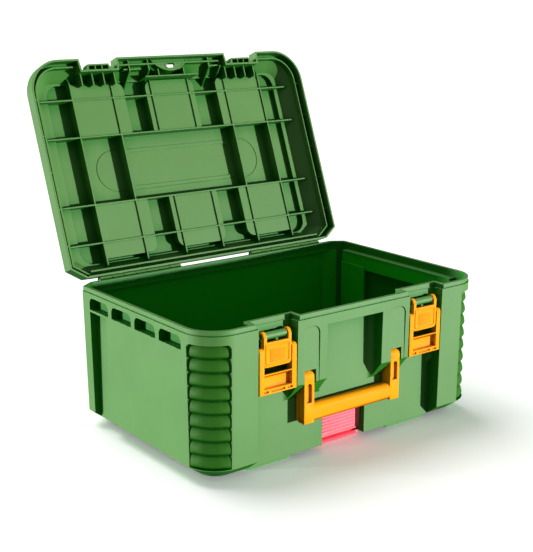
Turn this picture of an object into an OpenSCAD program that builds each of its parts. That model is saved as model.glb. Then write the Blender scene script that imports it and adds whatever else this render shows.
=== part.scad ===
// Plastic tool box with a hinged lid, two draw latches, a bail handle and a stacking catch.
// The origin is at the centre of the base, +Z is up and the front faces -Y.
// The lid is drawn open, the latches folded down and the handle hanging.

/* [Tub] */
// Width across the side walls at the seat line
body_w = 440; // [400:5:520]
// Depth from the front wall to the rear wall
body_d = 292; // [270:2:360]
// Height of the seat line, where the edge of the lid closes
seat_z = 180; // [170:1:260]
// Height of the rim above the seat line
rim_h = 6; // [4:0.5:8]
// Width of the top face of the rim
rim_w = 4.5; // [3:0.5:6]
// How far the rim stands inside the wall below it
rim_inset = 0.9; // [0.9:0.1:1.5]
// Thickness of the tub walls
wall = 4; // [3:0.5:5]
// Thickness of the bottom plate
floor_t = 4; // [3:0.5:6]
// Radius of the front corners
corner_r = 42; // [30:1:55]
// Length across of the cut on the rear corners
rear_cut_w = 29; // [15:1:40]
// Length front to back of the cut on the rear corners
rear_cut_d = 20; // [10:1:30]
// How far the walls lean in, from the seat line to their lower edge
draft = 2.4; // [1:0.2:4]
// Height of the lower edge of the side walls
hem_z = 20; // [14:1:30]
// Height of the underside of the bottom plate
base_z = 7; // [5:0.5:10]
// How far the bottom plate stands in from the walls
base_inset = 20; // [14:1:26]
// Depth of the step inside, below the rim
ledge_drop = 14; // [10:1:20]
// Width of the step inside
ledge_w = 1; // [0.5:0.5:2]

/* [Front face] */
// How far the lower front wall, the latch bays and the pocket stand back
set_back = 20; // [17:0.5:24]
// Radius in the back corners of the bays and the pocket
bay_r = 7; // [3:0.5:9]
// Height of the lower edge of the raised front panel
panel_z = 102.5; // [96:0.5:108]
// How much lower the panel's underside meets the wall behind
panel_slope = 24; // [10:1:30]
// Height of the lower edge of the front wall
apron_z = 9; // [7.5:0.5:12]
// Half width of the pocket over the grip
pocket_half = 44; // [34:1:48]
// Height of the top of that pocket
pocket_z = 168; // [150:1:172]
// Width of the shallow arched recess over each handle arm
arch_w = 27; // [22:1:29]
// Depth of that recess
arch_t = 1.6; // [0.8:0.2:2.5]
// Height of the top of that recess
arch_z = 170; // [150:1:174]

/* [Corner ribs] */
// Number of ribs on each front corner
rib_count = 9; // [5:1:9]
// Distance from rib to rib
rib_pitch = 16.4; // [12:0.2:16.4]
// Height of the top of the ribbed strip
rib_top = 169.5; // [160:0.5:174]
// Distance from the top of the strip to the crest of the first rib
rib_first = 12.5; // [12:0.5:14]
// Height of a rib below its crest
rib_under = 4.9; // [3:0.1:8]
// How far the crests stand back from the wall
rib_inset = 3.2; // [2:0.2:5]
// How far each rib stands out of the strip
rib_rise = 5; // [2:0.2:5.2]
// Angle left plain at each end of the strip
rib_margin = 7; // [4:1:15]

/* [Side grips] */
// Number of finger pockets on each side
grip_count = 4; // [2:1:4]
// Distance from pocket to pocket
grip_pitch = 54; // [48:1:56]
// Width of a pocket
grip_w = 46; // [30:1:47]
// Height of a pocket
grip_h = 15.5; // [12:0.5:18]
// Height of the flat bottom of the pockets
grip_z = 159; // [150:1:160]
// Depth of a pocket
grip_t = 12; // [8:0.5:14]
// Distance of the rearmost pocket's far edge from the rear wall
grip_rear = 37; // [34:1:60]
// Width of the upright channel below the rearmost pocket
channel_w = 41; // [24:1:42]
// Depth of the upright channel
channel_t = 11; // [6:0.5:14]
// Thickness of the shelf between the channel and the pocket
channel_shelf = 3; // [2:0.5:5]

/* [Feet] */
// Distance from the middle to the inner end of a foot bar
foot_in = 80; // [60:1:100]
// Distance from the middle to the outer end of a foot bar
foot_out = 143; // [120:1:160]
// Width of a foot bar from front to back
foot_t = 12; // [8:1:20]
// Radius of the round foot under the middle of the base
boss_foot_r = 14; // [8:1:30]

/* [Lid] */
// How far the lid stands out past the tub walls
lid_over = 2.4; // [2:0.1:4]
// Thickness of the skirt round the edge of the lid
skirt_t = 2.5; // [2:0.1:2.9]
// Depth of the skirt
skirt_h = 17; // [14:0.5:20]
// Depth of the lid from its edge to its outside
lid_h = 41; // [38:1:60]
// Thickness of the lid's panel
lid_t = 3; // [2.5:0.1:4]
// How far the crown stands in from the tub walls
crown_inset = 4; // [3:0.5:8]
// Height of the slope round the crown
crown_slope = 14; // [6:1:15]
// How far the slope leans in
crown_lean = 16; // [6:1:17]
// Height of the raised platform on top of the crown
plat_h = 7; // [3:0.5:8]
// Distance of that platform from the side walls
plat_side = 28; // [26:1:36]
// Distance of that platform from the front and rear walls
plat_end = 21; // [20:0.5:26]
// Radius of the platform's corners
plat_r = 21; // [12:1:30]
// Clearance between the edge of the lid and the seat line
seat_gap = 0.3; // [0.3:0.1:0.6]
// Width of the groove that takes the rim
groove_w = 5.1; // [4.8:0.1:7]
// Depth of that groove from the edge of the lid
groove_t = 14; // [10:0.5:16]
// Thickness of the inner wall of the groove
lip_t = 2; // [1.6:0.1:3]
// How far the inner wall stops short of the edge
lip_back = 7.5; // [7:0.5:12]
// Angle through which the lid opens
lid_open = 111; // [95:1:115]

/* [Lid ribs] */
// Depth of the raised pads and rib crests below the edge
crest_z = 23; // [20:0.5:28]
// Distance between the ribs that run front to back
rib_step = 62.6; // [56:0.2:64]
// Thickness of the ribs
lid_rib_t = 1.8; // [1.4:0.1:2.5]
// Distance from the middle of the lid to the inner cross ribs
row_in = 46; // [40:0.5:52]
// Distance from the ends of the pads to the outer cross ribs
row_edge = 21.5; // [14:0.5:28]
// Distance from the front and rear walls to the ends of the pads
pad_edge = 27; // [25:0.5:34]
// Radius of the pads' free corners
pad_r = 12; // [6:1:16]
// How far the ribs stand above the pads
rib_above = 2; // [0.5:0.1:3]
// How far the middle of the pads lies in front of the middle of the box
pads_fore = 1.1; // [0:0.1:2]
// Half length of the rounded panel in the middle of the lid
panel_half = 88; // [70:1:90]
// Half width of that panel
panel_mid = 24; // [16:0.5:26]
// Depth of that panel
panel_in = 1.2; // [0.6:0.1:1.5]
// Half length of the fine groove round the panel
loop_half = 135; // [110:1:140]
// Half width of that groove's loop
loop_mid = 29.5; // [27:0.5:38]

/* [Latches] */
// Distance from the middle to the centre of each latch bay
latch_x = 117.8; // [112:0.2:124]
// Width of a latch bay
bay_w = 56.8; // [54:0.2:60]
// Depth of the jog of the rim behind a latch
jog_t = 15.2; // [13:0.2:16]
// How much the sides of the jog slant
jog_slant = 1.6; // [0.4:0.1:1.8]
// Height of the axle that carries a latch
axle_z = 168; // [164:0.5:168]
// Distance of that axle behind the front wall
axle_in = 8; // [7:0.1:9]
// Radius of that axle
axle_r = 3; // [2.5:0.1:3.2]
// Radius of the thicker middle of the axle
boss_r = 4.5; // [3.5:0.1:5]
// Width of the hook frame
hook_w = 53.6; // [52:0.2:53.6]
// Width of the side rails of the hook frame
rail_w = 6.6; // [5:0.1:7]
// Distance from the axle down to the pin that joins the hook frame
pin_drop = 17; // [15:0.5:19]
// Distance from that pin down to the end of the hook frame
hook_len = 51; // [49:0.5:53]
// Thickness of the hook frame from front to back
hook_t = 9; // [7:0.5:9.6]
// Height of the cross bar at the end of the hook frame
bar_h = 6.2; // [5:0.2:7]
// Distance from the axle down to the end of the thumb pad
pad_drop = 36; // [33:0.5:38]
// Width of an arm of the lever
arm_w = 4.2; // [3.5:0.1:5]
// Thickness of the thumb pad
pad_t = 4; // [3:0.5:5]
// Radius of the latch pins
latch_pin_r = 1.5; // [1.2:0.1:1.8]
// Width of the slot for a padlock in the middle of the front edge
eye_w = 13; // [9:0.5:16]
// Depth of that slot from front to back
eye_t = 6.6; // [5:0.2:7]
// Half width of the half-round shelf round the padlock slot
shelf_half = 31; // [26:1:36]
// How far that shelf reaches in from the front wall
shelf_t = 17; // [15:0.5:20]
// Half width of the ledge behind the shelf
ledge_half = 44; // [38:1:60]
// Distance from the middle to the left inner bracing wall
brace_left_in = 36; // [34:1:50]
// Distance from the middle to the left outer bracing wall
brace_left_out = 67; // [56:1:80]
// Distance from the middle to the right inner bracing wall
brace_right_in = 65; // [50:1:70]
// Distance from the middle to the right outer bracing wall
brace_right_out = 84; // [74:1:86]
// Width of the catch on the lid
catch_w = 31; // [24:1:36]
// How far the catch stands forward of the lid's wall
catch_t = 8; // [6:0.5:8.5]

/* [Handle] */
// Width of the handle over its arms
handle_w = 153.7; // [140:0.5:160]
// Width of one arm
handle_arm_w = 15; // [12:0.5:16]
// Thickness of the handle from front to back
handle_t = 15; // [12:0.5:15]
// Distance of the handle's face behind the front wall
handle_in = 3; // [2:0.2:3.4]
// Height of the handle's pivot
handle_z = 106.5; // [105:0.5:112]
// Distance from the pivot down to the middle of the grip
handle_drop = 46.5; // [45:0.5:52]
// Height of the grip
grip_bar_h = 22; // [18:1:24]
// Width of the slot in the face of each arm
arm_slot_w = 8; // [4:0.5:9]
// Depth of that slot
arm_slot_t = 3.5; // [1:0.5:4.5]
// Distance from the pivot down to the top of that slot
arm_slot_top = 8; // [6:0.5:14]
// Radius of the handle's pins
handle_pin_r = 2.5; // [2:0.1:3]
// Clearance beside and above each arm in its notch
notch_gap = 1.3; // [0.6:0.1:2]

/* [Stacking catch] */
// Half width of the catch's face
slide_half = 34; // [26:0.2:36]
// Height of the catch
slide_h = 50; // [44:1:54]
// Distance of the catch's face behind the lower front wall
slide_in = 9.5; // [6:0.5:10]
// Thickness of the catch's face
slide_t = 2.6; // [2:0.2:3.5]
// How much wider each guide flange is than the face
flange_w = 3.6; // [2.5:0.1:5]
// Thickness of the guide flanges
flange_t = 6; // [4:0.5:7]
// Travel of the catch
slide_travel = 7; // [4:0.5:8]
// Clearance of the catch in its guides
slide_gap = 0.3; // [0.3:0.05:0.5]

/* [Hinge] */
// Distance from the last knuckle to the side wall
knuckle_edge = 36; // [30:1:60]
// Length of one knuckle
knuckle_len = 17.2; // [14:0.2:17.4]
// Gap between knuckles
knuckle_gap = 0.6; // [0.4:0.1:1]
// Number of knuckles on each side, counting both halves
knuckle_count = 7; // [5:2:7]
// Radius of a knuckle
knuckle_r = 4.6; // [4:0.1:5]
// Radius of the hinge pins
hinge_pin_r = 2; // [1.5:0.1:2.4]
// Distance of the hinge line behind the rear wall
hinge_out = 0.6; // [0:0.1:1.5]
// Height of the hinge line above the seat line
hinge_up = 3.3; // [3:0.1:4]

/* [Hidden] */

green = [0.51, 0.69, 0.44];
orange = [1, 0.66, 0.1];
coral = [0.98, 0.45, 0.5];
steel = [0.7, 0.72, 0.74];

sides = [-1, 1];
fit_gap = 0.05;
over = 1;
thin = 0.01;

// Running room and play between the pieces
knuckle_room = 0.6;
skirt_room = 0.6;
rim_room = 0.1;
rail_room = 0.35;
boss_room = 0.4;
latch_play = 0.4;
notch_room = 0.9;
clip_room = 0.4;
// Small set-backs, steps and radii of the tub
hook_pin_in = 5;
eye_in = 9.5;
grip_r = 8;
arch_r = 10;
seat_line_t = 0.9;
seat_line_h = 1.2;
foot_fore = 8;
foot_aft = 2;
knuckle_root = 12;
axle_web = 1.5;
bay_head = 3.5;
bulge_up = 4;
base_ease = 0.6;
rib_tip = [[-0.4, 0.9], [0, 0.3], [-0.3, -0.4]];
// Small walls, steps and radii of the lid
cell_pitch = 17;
cell_wall = 0.7;
scallop_gap = 0.2;
scallop_out = 6;
shelf_rise = 1.5;
shelf_wall = 1.8;
shelf_skin = 2.5;
shelf_deep = 4;
front_start = 1;
ledge_fore = 1.5;
ledge_t = 1.6;
pad_skin = 2.5;
pad_spans = [[-2.5, -1.2], [-0.64, 0.64], [1.26, 2.5]];
panel_r = 13;
loop_t = 1.2;
loop_in = 0.7;
rib_tail = 18;
web_t = 1.4;
web_h = 8;
web_up = 11;
collar_t = 2.4;
// Small steps of the stacking catch
slide_low = 0.6;
lip_h = 4.5;
lip_in = 5.5;
lip_slope = 12;
shoulder_gap = 1.6;

front_y = -body_d / 2;
back_y = body_d / 2;
rim_z = seat_z + rim_h;
ledge_z = rim_z - ledge_drop;
hinge_y = back_y + hinge_out;
hinge_z = seat_z + hinge_up;
lid_z = seat_z + seat_gap;
lid_top = lid_z + lid_h;
lid_back = hinge_y - knuckle_r - knuckle_room;
rim_back = lid_back - skirt_t - hinge_up / 3 - rim_room;
lid_mid = -pads_fore;
strip_z = lid_top - plat_h;
slope_z = strip_z - crown_slope;
cut_turn = atan2(rear_cut_w, rear_cut_d);
knuckle_step = knuckle_len + knuckle_gap;
knuckle_start = body_w / 2 - knuckle_edge - knuckle_count * knuckle_step + knuckle_gap;
wall_y = front_y + set_back;
wall_back = wall_y + wall;
bay_half = bay_w / 2;
jog_side = skirt_t + skirt_room;
axle_y = front_y + axle_in;
hook_pin_z = axle_z - pin_drop;
hook_pin_y = front_y + hook_pin_in;
hook_face = hook_pin_y - hook_t / 2;
hook_half = hook_w / 2;
lever_half = hook_half - rail_w - rail_room;
boss_half = lever_half - arm_w - boss_room;
catch_top = hook_pin_z + hook_len - bar_h - latch_play;
catch_cell = catch_w / 3;
notch_y = front_y + jog_t - lid_over;
pad_end = body_d / 2 - pad_edge;
row_out = pad_end - row_edge;
pad_y = lid_mid - pad_end;
scallop_r = cell_pitch / 2 - scallop_gap;
shelf_r = (shelf_half * shelf_half + shelf_t * shelf_t) / (2 * shelf_t);
shelf_z = lid_z + lip_back + shelf_rise;
ledge_y = pad_y - ledge_fore;
arm_mid = handle_w / 2 - handle_arm_w / 2;
arm_y = front_y + handle_in + handle_t / 2;
notch_z = handle_z + handle_t / 2 + notch_gap + notch_room;
slide_y = wall_y + slide_in;
lip_y = slide_y + lip_in;
slide_stop = slide_low + lip_h + slide_travel + slide_gap;
eye_y = front_y + eye_in;
web_step = body_d / 6;
lip = lid_over - skirt_t - groove_w;

// Outline of the tub seen from above, moved out by grow
module outline(grow = 0) {
  side = body_w / 2 + grow;
  r = corner_r + grow;
  cut_y = back_y - rear_cut_d + grow * tan(cut_turn / 2);
  cut_x = body_w / 2 - rear_cut_w + grow * tan(45 - cut_turn / 2);
  polygon([[side, front_y - grow + r], [side, cut_y], [cut_x, back_y + grow],
    [-cut_x, back_y + grow], [-side, cut_y], [-side, front_y - grow + r],
    [-side + r, front_y - grow], [side - r, front_y - grow]]);
  for (s = sides) translate([s * (side - r), front_y - grow + r]) circle(r, $fn = 96);
}

// Slab of the outline from z0 to z1
module slab(z0, z1, grow = 0) translate([0, 0, z0]) linear_extrude(z1 - z0) outline(grow);

// Body that passes smoothly from one outline to another
module taper(z0, grow0, z1, grow1) hull() {
  slab(z0, z0 + thin, grow0);
  slab(z1 - thin, z1, grow1);
}

// Bar along X with a round section
module rod(x0, x1, y, z, r, fn = 48)
  translate([x0, y, z]) rotate([0, 90, 0]) cylinder(h = x1 - x0, r = r, $fn = fn);

// Box from two opposite corners
module block(a, b) translate(a) cube(b - a);

// Upright recess with rounded back corners, open to the front
module bay(half, depth, z0, z1, r) {
  translate([0, 0, z0]) linear_extrude(z1 - z0) {
    translate([-half, front_y - over]) square([2 * half, depth + over - r]);
    translate([-half + r, front_y - over]) square([2 * (half - r), depth + over]);
    for (s = sides) translate([s * (half - r), front_y + depth - r]) circle(r, $fn = 48);
  }
}

// Outline of the jog in the rim behind a latch, reaching in by depth
module jog(half, depth, slant)
  polygon([[-half - slant * over / depth, front_y - over - lid_over],
    [-half, front_y], [-half + slant, front_y + depth],
    [half - slant, front_y + depth], [half, front_y],
    [half + slant * over / depth, front_y - over - lid_over]]);

// Ribbed strip cut into a front corner
module corner_strip() {
  crest = rib_top - rib_first;
  low = crest - (rib_count - 1) * rib_pitch - rib_under;
  peak = corner_r - rib_inset;
  base = peak - rib_rise;
  translate([body_w / 2 - corner_r, front_y + corner_r, 0])
    rotate([0, 0, -90 + rib_margin])
      rotate_extrude(angle = 90 - 2 * rib_margin, $fn = 96)
        difference() {
          translate([base, low]) square([rib_rise + rib_inset + 2 * over, rib_top - low]);
          for (i = [0 : rib_count - 1]) translate([0, crest - i * rib_pitch])
            polygon(concat([[base - over, rib_pitch - rib_under], [base, rib_pitch - rib_under]],
              [for (p = rib_tip) [peak + p[0], p[1]]],
              [[base, -rib_under], [base - over, -rib_under]]));
        }
}

// Inside of a ribbed corner
module corner_sleeve() {
  inner = corner_r - rib_inset - rib_rise - wall;
  translate([body_w / 2 - corner_r, front_y + corner_r, 0])
    rotate([0, 0, -90]) rotate_extrude(angle = 90, $fn = 96)
      translate([inner, 0]) square([corner_r - inner, ledge_z]);
}

// Finger pockets and the upright channel in the right side wall
module side_cuts() {
  x = body_w / 2;
  y1 = back_y - grip_rear;
  for (i = [0 : grip_count - 1])
    translate([x - grip_t, y1 - i * grip_pitch - grip_w, grip_z])
      rotate([90, 0, 90]) linear_extrude(grip_t + over) arch(grip_w, grip_h, grip_r);
  translate([0, 0, base_z - over]) linear_extrude(grip_z - channel_shelf - base_z + over) {
    translate([x - channel_t, y1 - channel_w + bay_r]) square([channel_t + over, channel_w - bay_r]);
    translate([x - channel_t + bay_r, y1 - channel_w]) square([channel_t + over - bay_r, channel_w]);
    translate([x - channel_t + bay_r, y1 - channel_w + bay_r]) circle(bay_r, $fn = 48);
  }
}

// Flat-bottomed shape with two rounded top corners
module arch(w, h, r) {
  square([w, h - r]);
  translate([r, 0]) square([w - 2 * r, h]);
  for (x = [r, w - r]) translate([x, h - r]) circle(r, $fn = 48);
}

// Space under the raised panel, in front of the lower wall
module apron() rotate([90, 0, 90]) translate([0, 0, -latch_x - bay_half + thin])
  linear_extrude(2 * (latch_x + bay_half - thin))
    polygon([[front_y - over, -over], [front_y - over, panel_z], [front_y, panel_z],
      [wall_y, panel_z - panel_slope], [wall_y, -over]]);

// Room inside the tub
module room() {
  inner = rim_inset + rim_w;
  floor_z = base_z + floor_t;
  difference() {
    union() {
      slab(ledge_z, rim_z + over, -inner);
      taper(floor_z, -draft - wall - ledge_w, ledge_z + thin, -inner - ledge_w);
    }
    front_walls();
    // thicker top of the rear wall, under the hinge
    block([-body_w, rim_back - rim_w, ledge_z], [body_w, back_y, rim_z + 2 * over]);
    // housing of the stacking catch
    block([-slide_half - flange_w - wall, front_y, 0],
      [slide_half + flange_w + wall, slide_y + slide_t + flange_t + wall + over,
      slide_h + slide_travel + wall + 2 * over]);
    base_slope();
    side_bulges();
    for (s = sides) mirror([s < 0 ? 1 : 0, 0, 0]) corner_sleeve();
  }
}

// Walls behind the set-back front, the pocket and the latch bays
module front_walls() {
  bay_edge = latch_x + bay_half + wall;
  jog_back = rim_inset + rim_w;
  block([-bay_edge, front_y - over, 0], [bay_edge, wall_back, notch_z + wall]);
  block([-pocket_half - wall, front_y - over, 0], [pocket_half + wall, wall_back, ledge_z]);
  for (s = sides) translate([s * latch_x, 0, 0]) {
    block([-bay_half - wall, front_y - over, 0], [bay_half + wall, wall_back, ledge_z]);
    translate([0, 0, ledge_z - over]) linear_extrude(rim_z)
      jog(bay_half + jog_side + rim_w, jog_t + jog_back, jog_slant);
  }
}

// Lower inside edges, where the base steps in below the side walls
module base_slope() difference() {
  slab(0, hem_z + wall, 0);
  translate([0, 0, -thin]) taper(0, -base_inset - wall, hem_z + wall + 2 * thin, -draft - wall - base_ease);
}

// Inside of the finger pockets and the channels in the side walls
module side_bulges() {
  x = body_w / 2 - draft;
  y1 = back_y - grip_rear;
  for (s = sides) {
    mirror([s < 0 ? 1 : 0, 0, 0]) {
      block([x - channel_t - wall, y1 - channel_w - wall, 0], [x + over, y1 + wall, grip_z]);
      block([x - grip_t - wall + draft, y1 - (grip_count - 1) * grip_pitch - grip_w - wall,
        grip_z - wall], [x + over, y1 + wall, ledge_z + bulge_up]);
    }
  }
}

// Foot bars under the base, front and rear
module feet() {
  cylinder(h = base_z + over, r = boss_foot_r, $fn = 64);
  for (s = sides, e = sides) foot(s, e);
}

module foot(s, e) {
  y = e < 0 ? wall_y + foot_fore : back_y - base_inset - foot_t - foot_aft;
  block([s > 0 ? foot_in : -foot_out, y, 0], [s > 0 ? foot_out : -foot_in, y + foot_t, base_z + over]);
}

// Left end of knuckle i on side s
function knuckle_x(s, i) = s > 0 ? knuckle_start + i * knuckle_step
  : -knuckle_start - i * knuckle_step - knuckle_len;

// Bore of a hinge pin, longer than the knuckles at both ends
module hinge_bore(s) {
  reach = knuckle_count * knuckle_step;
  middle = s * (knuckle_start + reach / 2);
  rod(middle - reach / 2 - over, middle + reach / 2 + over, hinge_y, hinge_z, hinge_pin_r + fit_gap);
}

// Knuckles of one half of the hinge; part 0 belongs to the tub and part 1 to the lid
module knuckles(part) for (s = sides, i = [part : 2 : knuckle_count - 1]) {
  x0 = knuckle_x(s, i);
  rod(x0, x0 + knuckle_len, hinge_y, hinge_z, knuckle_r);
  if (part == 0)
    block([x0, lid_back + knuckle_room, seat_z - knuckle_root],
      [x0 + knuckle_len, hinge_y + knuckle_r - 1.5, hinge_z - 1]);
  else
    block([x0, lid_back - skirt_t, hinge_z - 0.5], [x0 + knuckle_len, hinge_y, hinge_z + knuckle_r]);
}

module tub() color(green) difference() {
  union() {
    difference() {
      union() {
        taper(hem_z, -draft, seat_z, 0);
        taper(base_z, -base_inset, hem_z + thin, -draft);
        difference() {
          slab(seat_z - over, rim_z, -rim_inset);
          block([-body_w, rim_back, seat_z], [body_w, back_y + over, rim_z + over]);
        }
      }
      room();
      apron();
      for (s = sides) {
        translate([s * latch_x, 0, 0]) {
          bay(bay_half, set_back, -over, axle_z + bay_head, bay_r);
          translate([0, 0, axle_z]) linear_extrude(rim_z) jog(bay_half, jog_t, jog_slant);
          translate([0, 0, seat_z]) linear_extrude(rim_z)
            jog(bay_half + jog_side, jog_t + rim_inset, jog_slant);
        }
        mirror([s < 0 ? 1 : 0, 0, 0]) {
          corner_strip();
          side_cuts();
        }
        // arched recess and notch for a handle arm
        translate([s * arm_mid - arch_w / 2, front_y + arch_t, panel_z - panel_slope])
          rotate([90, 0, 0]) linear_extrude(arch_t + over)
            arch(arch_w, arch_z - panel_z + panel_slope, arch_r);
        block([s * arm_mid - handle_arm_w / 2 - notch_gap, front_y - over,
          panel_z - panel_slope - over],
          [s * arm_mid + handle_arm_w / 2 + notch_gap, wall_y + 0.5, notch_z]);
      }
      bay(pocket_half, set_back, -over, pocket_z, bay_r);
      // lower edge of the front wall
      block([-latch_x - bay_half, front_y - over, -over], [latch_x + bay_half, wall_y, apron_z]);
      slide_cut();
      seat_groove();
      // room for the knuckles of the lid
      for (s = sides, i = [1 : 2 : knuckle_count - 1]) {
        x0 = knuckle_x(s, i);
        rod(x0 - knuckle_gap, x0 + knuckle_len + knuckle_gap, hinge_y, hinge_z, knuckle_r + knuckle_room);
      }
      padlock_slot(pocket_z - over, rim_z + over);
    }
    feet();
    knuckles(0);
    for (s = sides) {
      rod(s * latch_x - lever_half, s * latch_x + lever_half, axle_y, axle_z, axle_r);
      rod(s * latch_x - boss_half, s * latch_x + boss_half, axle_y, axle_z, boss_r);
      block([s * latch_x - boss_half + 2 * over, axle_y, axle_z - axle_web],
        [s * latch_x + boss_half - 2 * over, wall_y + over, axle_z + axle_web]);
    }
  }
  for (s = sides) {
    rod(s * arm_mid - arch_w / 2 + over, s * arm_mid + arch_w / 2 - over, arm_y, handle_z,
      handle_pin_r + fit_gap);
    hinge_bore(s);
  }
}

// Fine groove under the rim, along the seat line
module seat_groove() difference() {
  slab(seat_z, seat_z + seat_line_h, over);
  slab(seat_z - over, seat_z + 2 * over, -rim_inset - seat_line_t);
  block([-body_w, rim_back, seat_z - over], [body_w, back_y + 3, rim_z]);
}

// Upright slot for a padlock behind the front rim, moved out by grow
module padlock_slot(z0, z1, grow = 0) translate([0, eye_y, z0]) linear_extrude(z1 - z0) {
  square([eye_w - eye_t, eye_t + 2 * grow], center = true);
  for (s = sides) translate([s * (eye_w - eye_t) / 2, 0]) circle(eye_t / 2 + grow, $fn = 32);
}

// Guides and slot for the stacking catch, with a shoulder that stops its flanges
module slide_cut() {
  g = slide_gap;
  top = slide_h + slide_travel + over;
  back = slide_y + slide_t + flange_t + g;
  side = slide_half + flange_w + g;
  block([-slide_half - g, wall_y - over, -over], [slide_half + g, back, top]);
  block([-side, slide_y + slide_t - g, slide_stop + shoulder_gap], [side, back, top]);
  block([-side, lip_y - g, -over], [side, back, slide_stop]);
}

// The lid is drawn closed and then swung open about the hinge line
module swing() translate([0, hinge_y, hinge_z]) rotate([-lid_open, 0, 0])
  translate([0, -hinge_y, -hinge_z]) children();

// Pad of the lid between two places across and along, with rounded corners at one end
module lid_pad(x0, x1, y0, y1, r0, r1) {
  far = abs(y1 - lid_mid) > abs(y0 - lid_mid) ? 1 : -1;
  lo = min(y0, y1);
  hi = max(y0, y1);
  end = (y1 > y0 ? 1 : -1) * far;
  difference() {
    translate([x0, lo]) square([x1 - x0, hi - lo]);
    if (r0 > 0) corner_bite(x0, end > 0 ? hi : lo, 1, -end, r0);
    if (r1 > 0) corner_bite(x1, end > 0 ? hi : lo, -1, -end, r1);
  }
}

// Waste outside a rounded corner that lies at x, y and points away from dx, dy
module corner_bite(x, y, dx, dy, r) difference() {
  translate([x + (dx < 0 ? -r : -over), y + (dy < 0 ? -r : -over)]) square(r + over);
  translate([x + dx * r, y + dy * r]) circle(r, $fn = 48);
}

// The six raised pads, moved in by inset
module pads(inset = 0) {
  for (e = sides, i = [0 : 2])
    lid_pad(pad_spans[i][0] * rib_step + inset, pad_spans[i][1] * rib_step - inset,
      lid_mid + e * (row_in + inset), lid_mid + e * (pad_end - inset),
      i == 0 ? 0 : pad_r, i == 2 ? 0 : pad_r);
  // scalloped ends behind the latch cells
  for (s = sides, i = [-1 : 1])
    translate([s * latch_x + i * cell_pitch, pad_y + scallop_out]) circle(scallop_r - inset, $fn = 32);
}

// Ribs inside the lid, seen from above
module lid_ribs() {
  t = lid_rib_t;
  rear = lid_mid + pad_end;
  for (i = [-2.5 : 1 : 2.5]) {
    x = i * rib_step - t / 2;
    if (abs(i) > 1) translate([x, pad_y]) square([t, rear - pad_y + rib_tail]);
    else {
      translate([x, pad_y]) square([t, pad_end - row_in]);
      translate([x, lid_mid + row_in]) square([t, pad_end - row_in + rib_tail]);
    }
  }
  for (e = sides, y = [row_in, row_out])
    translate([-body_w / 2, lid_mid + e * y - t / 2]) square([body_w, t]);
}

// Rounded rectangle about the origin
module round_rect(w, d, r) {
  square([w, d - 2 * r], center = true);
  square([w - 2 * r, d], center = true);
  for (x = sides, y = sides) translate([x * (w / 2 - r), y * (d / 2 - r)]) circle(r, $fn = 64);
}

// Platform on top of the crown, moved in by inset
module platform(z0, z1, inset = 0) translate([0, 0, z0]) linear_extrude(z1 - z0)
  round_rect(body_w - 2 * (plat_side + inset), body_d - 2 * (plat_end + inset), plat_r - inset);

// Everything inside the lid's shell, with a little of the shell for the ribs to stand in
module lid_inside() {
  slab(lid_z + over, slope_z + thin, lip - over);
  taper(slope_z, lip - over, strip_z - over, -crown_inset - crown_lean - over);
  platform(slope_z, lid_top - over, over);
}

// The same along the straight front and rear edges, drawn for the front
module edge_room(half = latch_x + bay_half + 12) {
  y0 = front_y + over;
  y1 = y0 + crown_inset;
  rotate([90, 0, 90]) translate([0, 0, -half]) linear_extrude(2 * half)
    polygon([[y0 - lid_over, lid_z], [y0 - lid_over, lid_z + skirt_h - over],
      [y1, lid_z + skirt_h - over], [y1, slope_z], [y1 + crown_lean, strip_z - over],
      [y0 + plat_end, strip_z - over], [y0 + plat_end, lid_top - over],
      [lid_mid, lid_top - over], [lid_mid, lid_z]]);
}

module lid_solid() {
  floor_z = lid_top - lid_t;
  difference() {
    union() {
      slab(lid_z, lid_z + skirt_h, lid_over);
      slab(lid_z + skirt_h - over, slope_z, -crown_inset);
      taper(slope_z - thin, -crown_inset, strip_z, -crown_inset - crown_lean);
      platform(strip_z - over, lid_top);
    }
    // groove that takes the rim of the tub
    difference() {
      slab(lid_z - over, lid_z + groove_t, lid_over - skirt_t);
      slab(lid_z - 2 * over, lid_z + groove_t + over, lip);
    }
    slab(lid_z - over, lid_z + lip_back, lid_over - skirt_t);
    // room inside the lid
    slab(lid_z, slope_z - lid_t + thin, lip - lip_t);
    taper(slope_z - lid_t, lip - lip_t, strip_z - lid_t, -crown_inset - crown_lean - 2 * over);
    platform(slope_z, floor_z, lid_t);
    // rounded panel and the fine groove round it
    translate([0, lid_mid, floor_z - over]) linear_extrude(over + panel_in)
      round_rect(2 * panel_half, 2 * panel_mid, panel_r);
    translate([0, lid_mid, floor_z - over]) linear_extrude(over + loop_in) difference() {
      round_rect(2 * loop_half, 2 * loop_mid, loop_mid - thin);
      round_rect(2 * (loop_half - loop_t), 2 * (loop_mid - loop_t), loop_mid - loop_t - thin);
    }
  }
}

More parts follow.
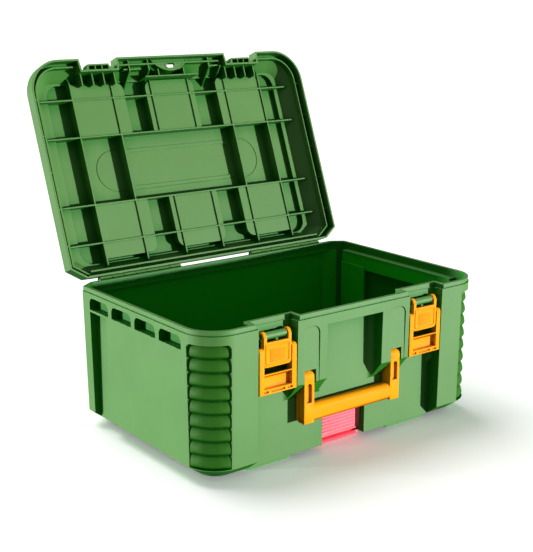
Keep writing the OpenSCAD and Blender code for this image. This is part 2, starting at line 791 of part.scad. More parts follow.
module lid() color(green) swing() difference() {
  union() {
    difference() {
      lid_solid();
      block([-body_w, lid_back, 0], [body_w, back_y + 10, lid_top + over]);
      for (s = sides) translate([s * latch_x, 0, lid_z - over])
        linear_extrude(lid_h + 2 * over) jog(bay_half, jog_t - lid_over, jog_slant);
    }
    lid_edges();
    // pads, hollow from outside, and ribs
    intersection() {
      lid_inside();
      union() {
        difference() {
          translate([0, 0, lid_z + crest_z]) linear_extrude(lid_h) pads();
          translate([0, 0, lid_z + crest_z + pad_skin]) linear_extrude(lid_h) pads(pad_skin);
        }
        translate([0, 0, lid_z + crest_z - rib_above]) linear_extrude(lid_h) lid_ribs();
      }
    }
    knuckles(1);
    intersection() {
      edge_room();
      lid_front();
    }
    for (s = sides) translate([s * latch_x, 0, 0]) lid_catch();
  }
  // the outside of the pads is open to the top
  translate([0, 0, lid_z + crest_z + pad_skin]) linear_extrude(lid_h) pads(pad_skin);
  // recess for a padlock in the outside of the crown, and its slot
  shelf(shelf_z + shelf_skin + 0.1, lid_top + over, -shelf_skin, front_y + 6);
  shelf(lid_z + skirt_h, lid_top + over, -shelf_skin, front_y - 2 * over);
  padlock_slot(lid_z, lid_top + over);
  for (s = sides) hinge_bore(s);
}

// Walls that close the lid along the hinge, with webs in the groove
module lid_edges() {
  edge = body_w / 2 - rear_cut_w;
  inner = lid_back - skirt_t - groove_w;
  block([-edge - 8, lid_back - skirt_t, lid_z], [edge + 8, lid_back, lid_z + skirt_h]);
  block([-edge, inner - lip_t, lid_z + lip_back], [edge, inner, lid_z + groove_t + 3]);
  block([-edge, inner - 1, lid_z + groove_t], [edge, lid_back, lid_z + groove_t + 3]);
  for (s = sides, y = [-2 : 2])
    translate([s * (body_w / 2 + (lip + lid_over) / 2 - over), lid_mid + y * web_step, lid_z + web_up])
      cube([groove_w + skirt_t, web_t, web_h], center = true);
}

// Catch for a latch, hollowed by three cells
module lid_catch() difference() {
  catch_block(lid_z + 2, catch_top);
  for (i = [-1 : 1])
    block([(i - 0.5) * catch_cell + cell_wall, notch_y - catch_t + shelf_wall, lid_z + over],
      [(i + 0.5) * catch_cell - cell_wall, notch_y - 0.5, catch_top - collar_t]);
}

// Walls round the latch jogs with cells behind them, the shelf with the padlock eye and its braces
module lid_front() {
  low = lid_z + lip_back + front_start;
  for (s = sides) translate([s * latch_x, 0, 0]) {
    translate([0, 0, lid_z]) linear_extrude(lid_h) difference() {
      jog(bay_half + skirt_t, jog_t - lid_over + skirt_t, jog_slant);
      jog(bay_half, jog_t - lid_over, jog_slant);
      translate([-bay_w, front_y - 2 * corner_r]) square([2 * bay_w, 2 * corner_r - lid_over]);
    }
    for (i = [-1.5 : 1.5])
      block([i * cell_pitch - lid_rib_t / 2, notch_y + skirt_t - over, low + 1],
        [i * cell_pitch + lid_rib_t / 2, pad_y + 5, lid_top]);
  }
  // half-round shelf with a raised edge and a collar round the slot
  difference() {
    shelf(low, lid_top, 0, front_y + 0.5);
    shelf(low - over, shelf_z, -shelf_wall, front_y - 2 * over);
  }
  padlock_slot(low, shelf_z + over, collar_t);
  // ledge behind the shelf, tied to it by two small ribs
  block([-ledge_half, ledge_y - ledge_t, low], [ledge_half, ledge_y, lid_top]);
  for (s = sides)
    block([s * 21 - ledge_t / 2, front_y + shelf_t - shelf_deep, low + over],
      [s * 21 + ledge_t / 2, ledge_y, lid_top]);
  // walls that brace the front edge, sloping down to the panel, with a web across each pair
  for (x = [-brace_left_out, -brace_left_in, brace_right_in, brace_right_out]) brace(x);
  for (x = [-(brace_left_in + brace_left_out) / 2 - 10, (brace_right_in + brace_right_out) / 2 + 5])
    block([x - 14, front_y + 11, low + 2], [x + 14, front_y + 11 + lid_rib_t, lid_top]);
  // ends of the outermost ribs, falling away to the front
  for (s = sides)
    translate([s * 2.5 * rib_step - lid_rib_t / 2, 0, 0]) rotate([90, 0, 90]) linear_extrude(lid_rib_t)
      polygon([[pad_y + over, lid_z + crest_z - rib_above], [pad_y - over, lid_z + crest_z - rib_above],
        [front_y + 6, strip_z - lid_t], [front_y + 6, lid_top], [pad_y + over, lid_top]]);
}

// Wall from front to back whose edge slopes down to the panel
module brace(x) translate([x - lid_rib_t / 2, 0, 0]) rotate([90, 0, 90]) linear_extrude(lid_rib_t) {
  low = lid_z + lip_back + front_start;
  polygon([[front_y, low], [front_y + 15, low], [pad_y + 10, lid_top - lid_t + 0.5],
    [pad_y + 10, lid_top], [front_y, lid_top]]);
}

// Half-round shelf behind the front edge, moved out by grow and starting at y0
module shelf(z0, z1, grow, y0) translate([0, 0, z0]) linear_extrude(z1 - z0) intersection() {
  translate([0, front_y + shelf_t - shelf_r]) circle(shelf_r + grow, $fn = 96);
  translate([-shelf_r, y0]) square([2 * shelf_r, shelf_t + shelf_deep]);
}

// Catch seen from above, narrower at its forward edge
module catch_block(z0, z1) translate([0, 0, z0]) linear_extrude(z1 - z0)
  polygon([[-catch_w / 2 - 5, notch_y + over], [-catch_w / 2, notch_y - catch_t],
    [catch_w / 2, notch_y - catch_t], [catch_w / 2 + 5, notch_y + over]]);

module hinge_pin(s) color(steel) {
  length = knuckle_count * knuckle_step - knuckle_gap - over;
  middle = s * (knuckle_start + (over + length) / 2);
  rod(middle - length / 2, middle + length / 2, hinge_y, hinge_z, hinge_pin_r);
}

module hinge_pin_left() hinge_pin(-1);
module hinge_pin_right() hinge_pin(1);

// Lever: two arms that clip over the axle, and the ribbed thumb pad
module latch_lever(s) color(orange) translate([s * latch_x, 0, 0]) difference() {
  face = front_y + 1.6;
  clip_t = 2.6;
  rib_half = 11;
  rib_gap = 2.7;
  line_in = 2.5;
  line_w = 1.2;
  union() {
    for (e = sides) {
      x0 = e > 0 ? lever_half - arm_w : -lever_half;
      rod(x0, x0 + arm_w, axle_y, axle_z, axle_r + clip_t);
      block([x0, face, axle_z - pad_drop + 12], [x0 + arm_w, axle_y - clip_room, axle_z + 0.5]);
      block([x0, face, hook_pin_z - 6], [x0 + arm_w, hook_pin_y + 3.6, hook_pin_z + 6]);
    }
    translate([0, face + pad_t, axle_z - boss_r - 2]) rotate([90, 0, 0]) linear_extrude(pad_t)
      mirror([0, 1]) translate([-lever_half, 0]) arch(2 * lever_half, pad_drop - boss_r - 2, 5);
    for (i = [0 : 5])
      rod(-rib_half, rib_half, face + 0.1, axle_z - pad_drop + 7 + rib_gap * i, 0.7, 24);
    // raised line round the ribs
    translate([0, face + 0.5, axle_z - boss_r - 4]) rotate([90, 0, 0]) linear_extrude(1.1)
      mirror([0, 1]) difference() {
        translate([-lever_half + line_in, 0])
          arch(2 * (lever_half - line_in), pad_drop - boss_r - 7, 4);
        translate([-lever_half + line_in + line_w, line_w])
          arch(2 * (lever_half - line_in - line_w), pad_drop - boss_r - 7 - 2 * line_w, 3);
      }
  }
  rod(-bay_half, bay_half, axle_y, axle_z, axle_r + fit_gap);
  // mouth of the clips, facing down and back
  translate([-bay_half, axle_y, axle_z]) rotate([-40, 0, 0])
    translate([0, 0, -axle_r + 0.5]) cube([bay_w, 12, 2 * axle_r - 1]);
  rod(-bay_half, bay_half, hook_pin_y, hook_pin_z, latch_pin_r + fit_gap, 32);
}

module latch_lever_left() latch_lever(-1);
module latch_lever_right() latch_lever(1);

// Hook frame: two rails, a cross bar that hooks the lid and a scooped web
module latch_hook(s) color(orange) translate([s * latch_x, 0, 0]) difference() {
  low = hook_pin_z - hook_len;
  scoop_top = low + 24.5;
  back = hook_pin_y + hook_t / 2;
  gap = hook_half - rail_w;
  slot_pitch = 17.5;
  slot_half = [3.5, 10, 3.5];
  union() {
    for (e = sides) {
      x0 = e > 0 ? gap : -hook_half;
      rod(x0, x0 + rail_w, hook_pin_y, hook_pin_z, hook_t / 2);
      block([x0, hook_face, low], [x0 + rail_w, back, hook_pin_z]);
    }
    block([-hook_half, hook_face, low], [hook_half, back, low + bar_h]);
    translate([-gap - thin, 0, 0]) rotate([90, 0, 90]) linear_extrude(2 * (gap + thin))
      polygon([[back - 2.8, low + bar_h - over], [back - 1, low + bar_h - over],
        [back - 1, scoop_top - 3], [hook_face + 2.6, scoop_top], [hook_face, scoop_top],
        [hook_face, scoop_top - 1.2], [back - 2.8, scoop_top - 5.8]]);
  }
  // three slots in the cross bar
  for (i = [-1 : 1])
    block([i * slot_pitch - slot_half[i + 1], hook_face - over, low + 1.8],
      [i * slot_pitch + slot_half[i + 1], hook_face + 1.6, low + 4.4]);
  rod(-bay_half, bay_half, hook_pin_y, hook_pin_z, latch_pin_r + fit_gap, 32);
}

module latch_hook_left() latch_hook(-1);
module latch_hook_right() latch_hook(1);

// Pin that joins a rail of the hook frame to an arm of the lever
module latch_pin(s, e) color(steel) translate([s * latch_x, 0, 0])
  rod(e > 0 ? lever_half - arm_w + 0.3 : -hook_half + 0.5,
    e > 0 ? hook_half - 0.5 : -lever_half + arm_w - 0.3, hook_pin_y, hook_pin_z, latch_pin_r, 32);

module latch_pin_left_outer() latch_pin(-1, -1);
module latch_pin_left_inner() latch_pin(-1, 1);
module latch_pin_right_inner() latch_pin(1, -1);
module latch_pin_right_outer() latch_pin(1, 1);

// Bail handle with its two arms and rounded grip
module handle() color(orange) difference() {
  half = handle_w / 2;
  face = front_y + handle_in;
  low = handle_z - handle_drop - grip_bar_h / 2;
  heel_r = 6;
  round_r = 6.5;
  slot_up = 3.5;
  back_in = 6;
  union() {
    for (s = sides) {
      x0 = s > 0 ? half - handle_arm_w : -half;
      rod(x0, x0 + handle_arm_w, arm_y, handle_z, handle_t / 2);
      translate([x0, 0, 0]) rotate([90, 0, 90]) linear_extrude(handle_arm_w) {
        translate([face, low + heel_r]) square([handle_t, handle_z - low - heel_r]);
        translate([face, low]) square([handle_t - heel_r, heel_r + over]);
        translate([face + handle_t - heel_r, low + heel_r]) circle(heel_r, $fn = 48);
      }
    }
    translate([-half + over, 0, 0]) rotate([90, 0, 90]) linear_extrude(handle_w - 2 * over) {
      for (y = [face + round_r, face + handle_t - round_r],
           z = [low + round_r, low + grip_bar_h - round_r])
        translate([y, z]) circle(round_r, $fn = 48);
      translate([face + round_r, low]) square([handle_t - 2 * round_r, grip_bar_h]);
      translate([face, low + round_r]) square([handle_t, grip_bar_h - 2 * round_r]);
    }
  }
  // slots in the faces of the arms
  for (s = sides)
    translate([s * arm_mid - arm_slot_w / 2, face + arm_slot_t, low + grip_bar_h + slot_up])
      rotate([90, 0, 0]) linear_extrude(arm_slot_t + over)
        arch(arm_slot_w, handle_z - arm_slot_top - low - grip_bar_h - slot_up, arm_slot_w / 2 - 0.1);
  // the grip is hollow at the back
  hollow = handle_w - 2 * handle_arm_w - back_in;
  translate([-hollow / 2, face + handle_t - back_in, low + back_in - over])
    cube([hollow, back_in + over, grip_bar_h - 2 * (back_in - over)]);
  rod(-body_w / 2, body_w / 2, arm_y, handle_z, handle_pin_r + fit_gap);
}

module handle_pin(s) color(steel)
  rod(s * arm_mid - arch_w / 2 + 1.5, s * arm_mid + arch_w / 2 - 1.5, arm_y, handle_z, handle_pin_r);

module handle_pin_left() handle_pin(-1);
module handle_pin_right() handle_pin(1);

// Sliding catch with side flanges, finger ribs and a lip that hooks the box below
module stacking_catch() color(coral) {
  side = slide_half + flange_w;
  back = slide_y + slide_t + flange_t;
  foot_z = slide_low + lip_slope;
  side_rail_w = 4.5;
  rail_out = 1.6;
  rib_in = 8;
  rib_gap = 4.2;
  difference() {
    union() {
      translate([-slide_half, 0, 0]) rotate([90, 0, 90]) linear_extrude(2 * slide_half)
        polygon([[slide_y, foot_z], [slide_y, slide_h], [back, slide_h], [back, slide_low],
          [slide_y + 6.8, slide_low], [slide_y + 1.5, foot_z]]);
      block([-side, slide_y + slide_t, slide_stop + shoulder_gap + slide_gap], [side, back, slide_h]);
      for (s = sides) block([s > 0 ? slide_half - side_rail_w : -slide_half, slide_y - rail_out, foot_z],
        [s > 0 ? slide_half : -slide_half + side_rail_w, slide_y + over, slide_h]);
      block([-slide_half, slide_y - 1, foot_z - 0.6], [slide_half, slide_y + 3, foot_z + 1.4]);
      block([-side, lip_y, slide_low], [side, back, slide_low + lip_h]);
    }
    block([-slide_half + rib_in, slide_y + slide_t + over, foot_z + 2 * over],
      [slide_half - rib_in, back + over, slide_h - 4]);
  }
  for (i = [0 : 6])
    rod(-slide_half + rib_in, slide_half - rib_in, slide_y + 0.1, foot_z + 6 + rib_gap * i, 0.8, 24);
}

tub();
lid();
hinge_pin_left();
hinge_pin_right();
latch_lever_left();
latch_lever_right();
latch_hook_left();
latch_hook_right();
latch_pin_left_outer();
latch_pin_left_inner();
latch_pin_right_inner();
latch_pin_right_outer();
handle();
handle_pin_left();
handle_pin_right();
stacking_catch();
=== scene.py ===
import math

import bmesh
import bpy
from mathutils import Matrix, Vector


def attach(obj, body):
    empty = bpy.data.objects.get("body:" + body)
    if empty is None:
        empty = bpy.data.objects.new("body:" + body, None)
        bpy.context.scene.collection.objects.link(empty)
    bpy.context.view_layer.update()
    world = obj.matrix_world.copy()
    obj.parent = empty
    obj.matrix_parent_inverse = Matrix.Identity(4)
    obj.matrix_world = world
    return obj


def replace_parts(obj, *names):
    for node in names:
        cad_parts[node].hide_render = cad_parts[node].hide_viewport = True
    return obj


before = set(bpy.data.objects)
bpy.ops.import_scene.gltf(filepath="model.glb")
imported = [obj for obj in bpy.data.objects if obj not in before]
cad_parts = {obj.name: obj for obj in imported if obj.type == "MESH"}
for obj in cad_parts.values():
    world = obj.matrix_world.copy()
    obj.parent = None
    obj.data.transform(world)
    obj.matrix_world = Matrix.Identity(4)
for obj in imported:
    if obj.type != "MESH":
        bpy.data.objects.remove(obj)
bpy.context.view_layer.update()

# Tub: one injection moulding in mid-green polypropylene, with a fine spark-eroded grain on
# every face. It carries the moulded hinge knuckles, the latch axles and the guides of the
# stacking catch, so the rest of the box is fixed to it.


class Wire:
    """A socket of a material, so that sums over the surface read as plain arithmetic."""

    def __init__(self, mix, socket):
        self.mix, self.socket = mix, socket

    def _maths(self, operation, left, right):
        return self.mix.node("ShaderNodeMath", {"operation": operation}, {0: left, 1: right})

    def __add__(self, other):
        return self._maths("ADD", self, other)

    __radd__ = __add__

    def __sub__(self, other):
        return self._maths("SUBTRACT", self, other)

    def __rsub__(self, other):
        return self._maths("SUBTRACT", other, self)

    def __mul__(self, other):
        return self._maths("MULTIPLY", self, other)

    __rmul__ = __mul__

    def __abs__(self):
        return self._maths("ABSOLUTE", self, 0)


class Mix:
    """A plastic or metal finish being mixed from nodes."""

    def __init__(self, name, **same_all_over):
        self.material = bpy.data.materials.new(name)
        self.material.use_nodes = True
        self.tree = self.material.node_tree
        self.tree.nodes.clear()
        self.shader = self.tree.nodes.new("ShaderNodeBsdfPrincipled")
        ending = self.tree.nodes.new("ShaderNodeOutputMaterial")
        self.tree.links.new(self.shader.outputs[0], ending.inputs[0])
        for socket, value in same_all_over.items():
            self.shader.inputs[socket.replace("_", " ")].default_value = value
        self.place = self.node("ShaderNodeTexCoord", out="Object")

    def node(self, kind, settings=None, sockets=None, out=0):
        made = self.tree.nodes.new(kind)
        for key, value in (settings or {}).items():
            setattr(made, key, value)
        for key, value in (sockets or {}).items():
            self.feed(made.inputs[key], value)
        return Wire(self, made.outputs[out])

    def feed(self, socket, value):
        if isinstance(value, Wire):
            self.tree.links.new(value.socket, socket)
        else:
            socket.default_value = value

    def end(self, **sockets):
        for socket, value in sockets.items():
            self.feed(self.shader.inputs[socket.replace("_", " ")], value)
        return self.material

    def noise(self, scale, detail, rough=0.5):
        return self.node("ShaderNodeTexNoise", {}, {"Vector": self.place, "Scale": scale,
                                                    "Detail": detail, "Roughness": rough})

    def blend(self, share, dull, bright):
        return self.node("ShaderNodeMix", {"data_type": "RGBA"},
                         {0: share, 6: dull, 7: bright}, out=2)

    def band(self, wire, low, high):
        return self.node("ShaderNodeMapRange", {"interpolation_type": "SMOOTHSTEP"},
                         {0: wire, 1: low, 2: high})


def moulded(name, body, pale, wear_and_highlight, shade_tone, grain=0.00005, edge=0.0007, shade_reach=0.022,
            gloss=0.25, full_shade_below=0.25, shade_under=(0.15, 0.6)):
    """Moulded plastic: a fine grain, slow mottling, edges a little paler, partly from wear and
    partly a painted edge highlight, and painted shade, a deeper tone in the recesses and on the
    undersides."""
    satin, scuffed, polished = 0.5, 0.14, 0.1
    most_wear_and_highlight, most_underside_shade = 0.55, 0.85
    mix = Mix(name, IOR=1.45, Specular_IOR_Level=gloss)
    rounded = mix.node("ShaderNodeBevel", {"samples": 6}, {"Radius": edge})
    flat = mix.node("ShaderNodeNewGeometry", out="True Normal")
    level = mix.node("ShaderNodeVectorMath", {"operation": "DOT_PRODUCT"},
                     {0: rounded, 1: flat}, out="Value")
    patches = mix.noise(scale=55, detail=3)
    # edges paler: partly wear in patches, partly a painted edge highlight
    edge_wear_and_highlight = mix.band(1 - level, low=0.02, high=0.25) * mix.band(patches, low=0.32, high=0.62)
    mottle = mix.noise(scale=9, detail=4, rough=0.6)
    cloud = mix.blend(mix.band(mottle, low=0.3, high=0.7), body, pale)
    # painted shade: the colour turns to the shade tone where ambient occlusion finds the surface
    # hemmed in
    open_air = mix.node("ShaderNodeAmbientOcclusion", {"samples": 8, "only_local": True},
                        {"Distance": shade_reach}, out="AO")
    # painted shade on faces that look down
    facing = mix.node("ShaderNodeTexCoord", out="Normal")
    upright = mix.node("ShaderNodeSeparateXYZ", {}, {0: facing}, out="Z")
    underside_shade = mix.band(0 - upright, *shade_under)
    lit = mix.band(open_air, low=full_shade_below, high=0.9) * (1 - most_underside_shade * underside_shade)
    clear = mix.blend(lit, shade_tone(mix) if callable(shade_tone) else shade_tone, cloud)
    colour = mix.blend(edge_wear_and_highlight * most_wear_and_highlight, clear, wear_and_highlight)
    fine = mix.noise(scale=2600, detail=2)
    bump = mix.node("ShaderNodeBump", {}, {"Strength": 0.5, "Distance": grain,
                                           "Height": fine, "Normal": rounded})
    scuff = mix.noise(scale=130, detail=5, rough=0.7)
    return mix.end(Base_Color=colour, Normal=bump,
                   Roughness=satin + scuffed * (scuff - 0.5) - polished * edge_wear_and_highlight)


def dress(material, *names):
    """Gives CAD pieces their finish."""
    for name in names:
        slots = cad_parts[name].data.materials
        slots.clear()
        slots.append(material)


def tub_shade_tones(mix):
    """Painted shade tones of the tub: a purer green inside than in the recesses of its walls."""
    room_side, room_front, room_top = 0.2065, -0.1235, 0.180
    soft_side, soft_top = 0.002, 0.012
    recess_shade_green, room_shade_green = (0.003, 0.115, 0.002, 1), (0.002, 0.245, 0.002, 1)
    x, y, z = (mix.node("ShaderNodeSeparateXYZ", {}, {0: mix.place}, out=way) for way in "XYZ")
    inside = (mix.band(room_side - abs(x), low=0, high=soft_side)
              * mix.band(y - room_front, low=0, high=soft_side)
              * mix.band(room_top - z, low=0, high=soft_top))
    return mix.blend(inside, recess_shade_green, room_shade_green)


# painted shade: ambient occlusion over half a metre turns the tub's recesses and all its inside to
# the shade tones
green = moulded("green polypropylene", body=(0.062, 0.160, 0.040, 1), pale=(0.070, 0.176, 0.046, 1),
                wear_and_highlight=(0.14, 0.28, 0.11, 1), shade_tone=tub_shade_tones, shade_reach=0.5, full_shade_below=0.5)
dress(green, "tub")

# Ribbed corners: part of the tub's moulding. Each rib swells out of a narrow groove to a crest low
# down and turns sharply back. The strip is coloured darker than the walls as painted shade of the
# corner, which faces between the lights; its grain is coarser.

shaded_ribbed = moulded("green ribbed corner", body=(0.018, 0.092, 0.007, 1), pale=(0.024, 0.104, 0.010, 1),
                 wear_and_highlight=(0.08, 0.20, 0.05, 1), shade_tone=(0.001, 0.060, 0.001, 1), grain=0.0001, gloss=0.1)
wall_side, wall_front, wall_radius = 0.220, -0.146, 0.042
strip_start, strip_turn, strip_top = math.radians(6.7), math.radians(76.6), 0.1695
rib_root, rib_crest, rib_behind = 0.0336, 0.0391, 0.0004
rib_count, rib_pitch, rib_under, top_crest = 9, 0.0164, 0.0049, 0.157
run_out, least_swell, roundness = math.radians(12), 0.2, 1.7
corner_round, arc_steps, overlap, inner_share = 0.006, 6, 0.0002, 0.8
# the points of a rib's outline, as shares of the way up and down from its crest
shares_above, shares_below = (1, 0.98, 0.9, 0.75, 0.5, 0.25, 0), (0.3, 0.6, 0.85, 0.97)

outline = []
for rib in range(rib_count):
    crest = top_crest - rib * rib_pitch
    slopes = [(share, rib_pitch - rib_under) for share in shares_above]
    slopes += [(share, -rib_under) for share in shares_below]
    for share, height in slopes:
        swell = (1 - share ** roundness) ** (1 / roundness)
        outline.append((rib_root + (rib_crest - rib_root) * swell, crest + share * height))
foot = crest - rib_under
outline += [(rib_root, foot), (rib_root - rib_behind, foot), (rib_root - rib_behind, outline[0][1])]
sharp_angle = math.radians(40)


def around(corner, radius, angle, height):
    """A point at a radius and an angle round the upright line that a corner turns about."""
    return corner + Vector((radius * math.cos(angle), radius * math.sin(angle), height))


def add_piece(name, shape, material, body):
    """Makes an object of a finished shape and fixes it to a body."""
    mesh = bpy.data.meshes.new(name)
    shape.to_mesh(mesh)
    shape.free()
    for polygon in mesh.polygons:
        polygon.use_smooth = True
    mesh.set_sharp_from_angle(angle=sharp_angle)
    mesh.materials.append(material)
    piece = bpy.data.objects.new(name, mesh)
    bpy.context.scene.collection.objects.link(piece)
    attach(piece, body)
    return piece


for side, hand in (("left", -1), ("right", 1)):
    corner = Vector((hand * (wall_side - wall_radius), wall_front + wall_radius, 0))
    start, sweep = math.radians(-90) + hand * strip_start, hand * strip_turn
    shape = bmesh.new()
    ring = shape.faces.new([shape.verts.new(around(corner, radius, start, height))
                            for radius, height in outline])
    bmesh.ops.spin(shape, geom=[ring, *ring.edges, *ring.verts], cent=corner, axis=(0, 0, 1),
                   angle=sweep, steps=24)
    bmesh.ops.holes_fill(shape, edges=[edge for edge in shape.edges if edge.is_boundary])
    # the ribs and the grooves run out towards both ends of the strip
    middle = Vector((hand * math.sqrt(0.5), -math.sqrt(0.5)))
    for vert in shape.verts:
        spoke = (vert.co - corner).to_2d()
        if spoke.length > rib_root - rib_behind / 2:
            to_end = strip_turn / 2 - spoke.angle(middle)
            swell = least_swell + (1 - least_swell) * min(1, max(0, to_end / run_out))
            radius = rib_crest - (rib_crest - spoke.length) * swell
            vert.co.xy = corner.xy + spoke.normalized() * radius
    bmesh.ops.recalc_face_normals(shape, faces=shape.faces)
    add_piece("corner_ribs_" + side, shape, shaded_ribbed, "tub")

    # the rounded upper corners of the strip, filled with the wall's own green
    shape = bmesh.new()
    for end, way in ((start, hand), (start + sweep, -hand)):
        points = [(0, strip_top + overlap), (corner_round, strip_top + overlap)]
        for step in range(1, arc_steps + 1):
            turn = math.radians(90) * step / arc_steps
            points.append((corner_round * (1 - math.sin(turn)),
                           strip_top - corner_round * (1 - math.cos(turn))))
        made = [shape.verts.new(around(corner, wall_radius, end + way * along / wall_radius, height))
                for along, height in points]
        skin = [shape.faces.new((made[0], *pair)) for pair in zip(made[1:], made[2:])]
        behind = bmesh.ops.extrude_face_region(shape, geom=skin, use_keep_orig=True)["geom"]
        inner = [part for part in behind if isinstance(part, bmesh.types.BMVert)]
        bmesh.ops.scale(shape, vec=(inner_share, inner_share, 1), space=Matrix.Translation(-corner),
                        verts=inner)
    bmesh.ops.recalc_face_normals(shape, faces=shape.faces)
    add_piece("strip_corners_" + side, shape, green, "tub")

# Lid: a second moulding in the same green, ribbed on the inside like a waffle, coloured a darker
# copy of the tub's green as painted shade. Its recesses are shallow, so the painted shade in them
# keeps to the foot of the ribs. It hangs on two hinge pins.

shaded_lid_green = moulded("green polypropylene lid", body=(0.054, 0.138, 0.031, 1),
                    pale=(0.060, 0.149, 0.035, 1), wear_and_highlight=(0.14, 0.28, 0.11, 1),
                    shade_tone=(0.002, 0.095, 0.001, 1), shade_reach=0.03, full_shade_below=0.35)
dress(shaded_lid_green, "lid")

# Steel pins: drawn wire pressed into the knuckles, the handle bosses and the latch rails.
# Only their end faces show.

wire = Mix("drawn steel wire", Metallic=1.0)
streak = wire.noise(scale=900, detail=3)
smoothest, streaked = 0.28, 0.2
dress(wire.end(Base_Color=wire.blend(streak, (0.42, 0.43, 0.45, 1), (0.66, 0.67, 0.69, 1)),
               Roughness=smoothest + streaked * streak),
      "hinge_pin_left", "hinge_pin_right", "handle_pin_left", "handle_pin_right",
      "latch_pin_left_outer", "latch_pin_left_inner",
      "latch_pin_right_inner", "latch_pin_right_outer")

# Latches and handle: tough orange nylon with a satin face, moulded separately and snapped
# or pinned on. Their arrises are rounded, as a mould leaves them.

# painted shade: the orange turns brown in its small recesses and on its undersides
orange = moulded("orange nylon", body=(0.66, 0.225, 0.001, 1), pale=(0.70, 0.250, 0.002, 1),
                 wear_and_highlight=(0.85, 0.42, 0.04, 1), shade_tone=(0.30, 0.060, 0.001, 1),
                 gloss=0.06, shade_reach=0.007, full_shade_below=0.35)
lever_arris, hook_arris, handle_arris = 0.0004, 0.0005, 0.0006


def softened(name, body, arris, material, cut=None):
    """A copy of a CAD piece with its sharp arrises rounded, standing for that piece."""
    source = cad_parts[name]
    shape = bmesh.new()
    shape.from_mesh(source.data)
    shape.transform(source.matrix_world)
    bmesh.ops.remove_doubles(shape, verts=shape.verts, dist=2e-6)
    bmesh.ops.dissolve_limit(shape, angle_limit=math.radians(1.5), verts=shape.verts,
                             edges=shape.edges, delimit=set())
    if cut:
        cut(shape)
    sharp = [edge for edge in shape.edges
             if edge.is_manifold and abs(edge.calc_face_angle_signed()) > sharp_angle]
    bmesh.ops.bevel(shape, geom=sharp, offset=arris, offset_type="OFFSET", segments=2,
                    profile=0.5, affect="EDGES", clamp_overlap=True, material=-1)
    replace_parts(add_piece(name + "_look", shape, material, body), name)


def side_pockets(shape):
    """Hollows the outer sides of the handle's arms, leaving a rim all round."""
    rim, depth, smallest = 0.0016, 0.0028, 0.0002
    half = max(vert.co.x for vert in shape.verts)
    outer = [face for face in shape.faces
             if math.isclose(abs(face.normal.x), 1, abs_tol=0.001)
             and math.isclose(abs(face.calc_center_median().x), half, abs_tol=0.0001)
             and face.calc_area() > smallest]
    for face in outer:
        bmesh.ops.inset_region(shape, faces=[face], thickness=rim, use_even_offset=True)
        sunk = bmesh.ops.extrude_discrete_faces(shape, faces=[face])["faces"][0]
        inward = -math.copysign(depth, sunk.calc_center_median().x)
        bmesh.ops.translate(shape, vec=(inward, 0, 0), verts=sunk.verts)


for side in ("left", "right"):
    softened("latch_lever_" + side, "lever_" + side, lever_arris, orange)
    softened("latch_hook_" + side, "hook_" + side, hook_arris, orange)
softened("handle", "handle", handle_arris, orange, cut=side_pockets)

# Stacking catch: a coral-red plastic slider, moulded with ribs for a finger. It is held by
# the guides behind the tub's front wall.

# painted shade: the coral turns deep red in the narrow gaps round its ribs and on faces that look
# even slightly down
coral = moulded("coral plastic", body=(0.66, 0.130, 0.17, 1), pale=(0.70, 0.150, 0.19, 1),
                wear_and_highlight=(0.85, 0.30, 0.36, 1), shade_tone=(0.60, 0.001, 0.010, 1),
                gloss=0.15, shade_reach=0.0055, full_shade_below=0.55, shade_under=(0.05, 0.3))
catch_arris = 0.0003
softened("stacking_catch", "stacking_catch", catch_arris, coral)

# Camera: it stands where the photograph was taken from, in front and to the left of the box.
# Its place, its turn and its lens were found from the straight edges of the box.

eye = bpy.data.cameras.new("eye")
eye.sensor_width, eye.lens = 36, 73.77
eye.clip_start, eye.clip_end = 0.05, 900
camera = bpy.data.objects.new("eye", eye)
look_down, turn_right = math.radians(14.21), math.radians(37.46)
camera.location = (-0.8756, -1.1121, 0.5488)
camera.rotation_euler = (math.radians(90) - look_down, 0, -turn_right)
bpy.context.scene.collection.objects.link(camera)
bpy.context.scene.camera = camera

# Studio: a white floor that runs out of the picture, and three lights. One rakes the left side
# from behind, a low one from the front right leaves the recesses dark, and a broad one stands
# above and behind.

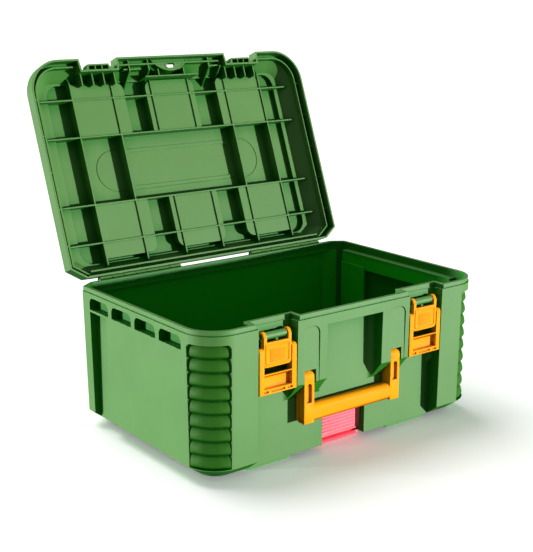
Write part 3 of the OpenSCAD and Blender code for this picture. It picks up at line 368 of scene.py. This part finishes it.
floor_mesh = bpy.data.meshes.new("floor")
sheet = bmesh.new()
bmesh.ops.create_grid(sheet, x_segments=1, y_segments=1, size=300)
sheet.to_mesh(floor_mesh)
sheet.free()
floor = bpy.data.objects.new("floor", floor_mesh)
bpy.context.scene.collection.objects.link(floor)
paint = Mix("white floor", Roughness=1.0, Specular_IOR_Level=0.0, Emission_Strength=1.0)
# the camera sees the floor white and a little aglow, and the light that it throws back is green
in_view = paint.node("ShaderNodeLightPath", out="Is Camera Ray")
floor_mesh.materials.append(paint.end(
    Base_Color=paint.blend(in_view, (0.25, 0.34, 0.25, 1), (0.93, 0.93, 0.93, 1)),
    Emission_Color=paint.blend(in_view, (0, 0, 0, 1), (0.2, 0.2, 0.2, 1))))


def lamp(name, comes_from, power, softness):
    """A far light, as soft as the angle in degrees that it fills."""
    light = bpy.data.lights.new(name, "SUN")
    light.energy, light.angle = power, math.radians(softness)
    holder = bpy.data.objects.new(name, light)
    holder.rotation_euler = (-Vector(comes_from)).to_track_quat("-Z", "Y").to_euler()
    bpy.context.scene.collection.objects.link(holder)


lamp("side", comes_from=(-1, 0.6, 0.03), power=7.1, softness=4)
lamp("front", comes_from=(0.7, -1, 0.012), power=7.1, softness=1.2)
lamp("top", comes_from=(-0.15, 0.6, 1), power=2.5, softness=45)

# what the camera sees round the floor is white, and the light from there is weak and greenish
sky = bpy.data.worlds.new("studio")
sky.use_nodes = True
air = sky.node_tree
weak, white = air.nodes["Background"], air.nodes.new("ShaderNodeBackground")
for backdrop, strength, tint in ((weak, 0.34, (0.9, 1, 0.9, 1)), (white, 1.0, (1, 1, 1, 1))):
    backdrop.inputs["Color"].default_value = tint
    backdrop.inputs["Strength"].default_value = strength
path, either = air.nodes.new("ShaderNodeLightPath"), air.nodes.new("ShaderNodeMixShader")
air.links.new(path.outputs["Is Camera Ray"], either.inputs[0])
air.links.new(weak.outputs[0], either.inputs[1])
air.links.new(white.outputs[0], either.inputs[2])
air.links.new(either.outputs[0], air.nodes["World Output"].inputs[0])
bpy.context.scene.world = sky
bpy.context.scene.view_settings.view_transform = "Standard"
